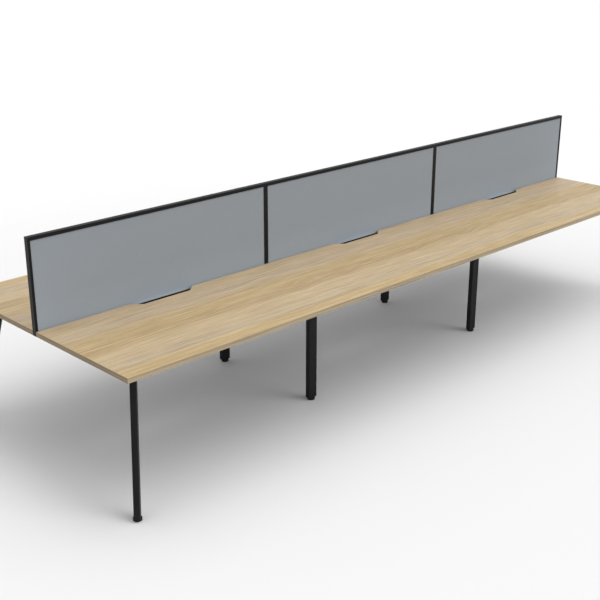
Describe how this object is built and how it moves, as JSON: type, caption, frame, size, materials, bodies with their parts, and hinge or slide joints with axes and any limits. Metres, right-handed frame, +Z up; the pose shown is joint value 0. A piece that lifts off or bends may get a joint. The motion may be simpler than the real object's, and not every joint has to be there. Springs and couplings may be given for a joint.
{
  "type": "back-to-back workstation",
  "caption": "Long bench desk with pale oak tops in two rows back to back, black splayed and upright tube legs, and a low grey fabric screen along the middle.",
  "frame": {"origin": "on the floor under the centre of the desk", "axes": "+X along the desk's length, +Y across it from the front row to the back row, +Z up"},
  "size_m": [4.5, 1.52, 1.2],
  "materials": {
    "oak_laminate": "satin",
    "oak_edging": "satin",
    "black_profile": "powder coated",
    "grey_fabric": "woven",
    "core_board": "matte",
    "black_steel": "powder coated",
    "zinc_steel": "zinc plated",
    "black_plastic": "moulded"
  },
  "bodies": {
    "desk": {"top_front_left": "oak_laminate", "top_front_mid": "oak_laminate", "top_front_right": "oak_laminate", "top_back_left": "oak_laminate", "top_back_mid": "oak_laminate", "top_back_right": "oak_laminate", "edge_bands": "oak_edging", "screen_board_left": "core_board", "screen_fabric_left": "grey_fabric", "screen_top_rail_left": "black_profile", "screen_bottom_rail_left": "black_profile", "screen_left_stile_left": "black_profile", "screen_right_stile_left": "black_profile", "screen_board_mid": "core_board", "screen_fabric_mid": "grey_fabric", "screen_top_rail_mid": "black_profile", "screen_bottom_rail_mid": "black_profile", "screen_left_stile_mid": "black_profile", "screen_right_stile_mid": "black_profile", "screen_board_right": "core_board", "screen_fabric_right": "grey_fabric", "screen_top_rail_right": "black_profile", "screen_bottom_rail_right": "black_profile", "screen_left_stile_right": "black_profile", "screen_right_stile_right": "black_profile", "screen_corner_keys": "zinc_steel", "beam_end_left": "black_steel", "beam_mid_left": "black_steel", "beam_mid_right": "black_steel", "beam_end_right": "black_steel", "beam_end_caps": "black_plastic", "rail_front_left": "black_steel", "rail_front_mid": "black_steel", "rail_front_right": "black_steel", "rail_back_left": "black_steel", "rail_back_mid": "black_steel", "rail_back_right": "black_steel", "leg_end_front_left": "black_steel", "leg_end_front_right": "black_steel", "leg_end_back_left": "black_steel", "leg_end_back_right": "black_steel", "leg_mid_front_left": "black_steel", "leg_mid_front_right": "black_steel", "leg_mid_back_left": "black_steel", "leg_mid_back_right": "black_steel", "end_leg_plugs": "black_plastic", "mid_leg_plugs": "black_plastic", "screen_saddles": "black_steel", "wood_screws": "zinc_steel", "frame_bolts": "zinc_steel", "screen_screws": "zinc_steel", "thread_inserts": "zinc_steel"},
    "end_front_left_foot": {"foot_end_front_left": "black_plastic"},
    "end_front_right_foot": {"foot_end_front_right": "black_plastic"},
    "end_back_left_foot": {"foot_end_back_left": "black_plastic"},
    "end_back_right_foot": {"foot_end_back_right": "black_plastic"},
    "mid_front_left_foot": {"foot_mid_front_left": "black_plastic"},
    "mid_front_right_foot": {"foot_mid_front_right": "black_plastic"},
    "mid_back_left_foot": {"foot_mid_back_left": "black_plastic"},
    "mid_back_right_foot": {"foot_mid_back_right": "black_plastic"}
  },
  "joints": [
    {"name": "end_front_left_foot_height", "type": "slide", "parent": "desk", "child": "end_front_left_foot", "axis": [0, 0, -1], "range_m": [0, 0.015]},
    {"name": "end_front_right_foot_height", "type": "slide", "parent": "desk", "child": "end_front_right_foot", "axis": [0, 0, -1], "range_m": [0, 0.015]},
    {"name": "end_back_left_foot_height", "type": "slide", "parent": "desk", "child": "end_back_left_foot", "axis": [0, 0, -1], "range_m": [0, 0.015]},
    {"name": "end_back_right_foot_height", "type": "slide", "parent": "desk", "child": "end_back_right_foot", "axis": [0, 0, -1], "range_m": [0, 0.015]},
    {"name": "mid_front_left_foot_height", "type": "slide", "parent": "desk", "child": "mid_front_left_foot", "axis": [0, 0, -1], "range_m": [0, 0.015]},
    {"name": "mid_front_right_foot_height", "type": "slide", "parent": "desk", "child": "mid_front_right_foot", "axis": [0, 0, -1], "range_m": [0, 0.015]},
    {"name": "mid_back_left_foot_height", "type": "slide", "parent": "desk", "child": "mid_back_left_foot", "axis": [0, 0, -1], "range_m": [0, 0.015]},
    {"name": "mid_back_right_foot_height", "type": "slide", "parent": "desk", "child": "mid_back_right_foot", "axis": [0, 0, -1], "range_m": [0, 0.015]}
  ]
}
